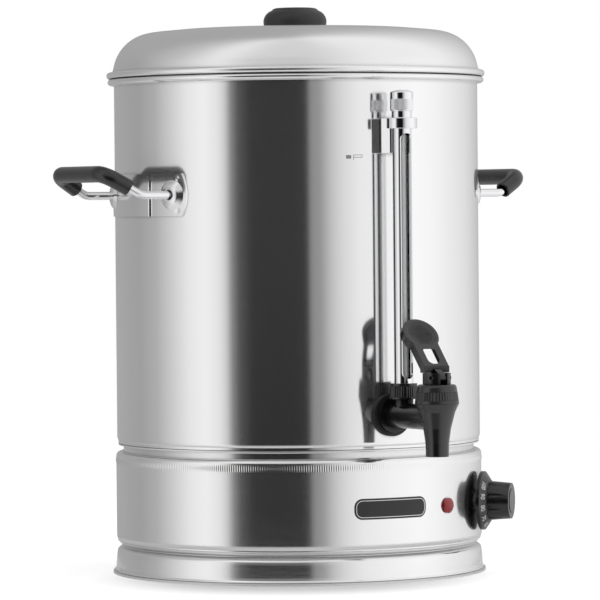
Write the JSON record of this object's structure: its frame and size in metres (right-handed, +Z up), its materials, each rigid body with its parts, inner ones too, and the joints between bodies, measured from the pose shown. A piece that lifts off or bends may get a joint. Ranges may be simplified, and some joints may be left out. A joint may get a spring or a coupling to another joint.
{
  "type": "hot water urn",
  "caption": "Manual-fill catering hot water urn: stainless drum and base, domed lid, two side handles, sight gauge, lever tap and thermostat dial.",
  "frame": {"origin": "on the drum's axis, in the plane of the counter that the foot rim stands on", "axes": "+Z up along the drum's axis, -Y towards the tap, handles on +X and -X"},
  "size_m": [0.4248, 0.4224, 0.49],
  "materials": {
    "stainless": "satin brushed stainless sheet",
    "polished_stainless": "mirror polished stainless sheet",
    "chrome": "bright chrome plate",
    "black_moulding": "black moulded plastic, semi-gloss",
    "black_rubber": "black rubber, matt",
    "silicone": "translucent white silicone",
    "steel_parts": "turned or pressed steel, zinc plated",
    "gauge_glass": "clear borosilicate tube",
    "red_lens": "red translucent lens",
    "lamp_housing": "black moulded lamp housing",
    "thermostat_case": "off-white phenolic case",
    "copper": "copper bulb and capillary",
    "aluminium": "cast aluminium, as cast",
    "terminal_plastic": "natural nylon",
    "brass": "turned brass",
    "red_button": "red moulded button"
  },
  "bodies": {
    "urn": {"tank_wall": "stainless", "tank_floor": "stainless", "base_shell": "stainless", "bottom_plate": "stainless", "base_brackets": "stainless", "handle_bracket_left": "polished_stainless", "handle_bracket_right": "polished_stainless", "handle_rods_left": "chrome", "handle_rods_right": "chrome", "gauge_shield": "chrome", "gauge_arm": "chrome", "handle_grip_left": "black_moulding", "handle_grip_right": "black_moulding", "tap_body": "black_moulding", "tap_bonnet": "black_moulding", "gauge_nut": "black_moulding", "cable_gland": "black_moulding", "gland_locknut": "black_moulding", "tap_nut": "black_moulding", "tap_gasket_outer": "black_rubber", "tap_gasket_inner": "silicone", "gauge_seal_lower": "silicone", "lever_pin": "steel_parts", "tap_spring": "steel_parts", "gauge_arm_screws": "steel_parts", "bottom_plate_screws": "steel_parts", "thermostat_nut": "steel_parts", "element_stud": "steel_parts", "element_nut": "steel_parts", "element_clamp": "steel_parts", "bulb_clip": "steel_parts", "pilot_clip": "steel_parts", "gauge_glass": "gauge_glass", "pilot_lens": "red_lens", "pilot_housing": "lamp_housing", "thermostat_body": "thermostat_case", "cutout_body": "thermostat_case", "thermostat_bulb": "copper", "element_plate": "aluminium", "terminal_block": "terminal_plastic", "earth_stud": "brass"},
    "lid": {"lid_shell": "stainless", "lid_knob": "black_moulding", "lid_knob_screw": "steel_parts", "lid_knob_washer": "silicone"},
    "tap_lever": {"tap_lever": "black_moulding", "stem_pin": "steel_parts"},
    "tap_stem": {"tap_stem": "steel_parts", "seat_cup": "silicone"},
    "dial": {"dial_knob": "black_moulding", "dial_cap": "black_moulding", "thermostat_shaft": "steel_parts"},
    "gauge_cap_seal": {"gauge_cap_seal": "silicone"},
    "gauge_cap": {"gauge_cap": "chrome"},
    "reset_button": {"reset_button": "red_button"}
  },
  "joints": [
    {"name": "lid_lift", "type": "slide", "parent": "urn", "child": "lid", "axis": [0, 0, 1], "range_m": [0, 0.15]},
    {"name": "tap_lever_pull", "type": "hinge", "parent": "urn", "child": "tap_lever", "pos_m": [0, -0.2386, 0.175], "axis": [1, 0, 0], "range_deg": [0, 45], "stiffness_Nm_per_rad": 0.08, "springref_deg": -22.92},
    {"name": "tap_stem_lift", "type": "slide", "parent": "urn", "child": "tap_stem", "axis": [0, 0, 1], "range_m": [0, 0.0054], "deforming": ["tap_spring"]},
    {"name": "dial_turn", "type": "hinge", "parent": "urn", "child": "dial", "pos_m": [0.11696, -0.11295, 0.062], "axis": [-0.7193, 0.6947, 0], "range_deg": [0, 270]},
    {"name": "gauge_cap_lift", "type": "slide", "parent": "urn", "child": "gauge_cap_seal", "axis": [0, 0, 1], "range_m": [0, 0.006]},
    {"name": "gauge_cap_turn", "type": "hinge", "parent": "gauge_cap_seal", "child": "gauge_cap", "pos_m": [0, -0.1792, 0.4], "axis": [0, 0, 1], "range_deg": [0, 1440]},
    {"name": "reset_button_press", "type": "slide", "parent": "urn", "child": "reset_button", "axis": [0, 0, 1], "range_m": [0, 0.0025], "stiffness_N_per_m": 300, "springref_m": -0.001}
  ],
  "couplings": [
    {"joint": "tap_stem_lift", "follows": "tap_lever_pull", "m_per_rad": 0.0068215},
    {"joint": "gauge_cap_lift", "follows": "gauge_cap_turn", "m_per_rad": 0.00023873}
  ]
}
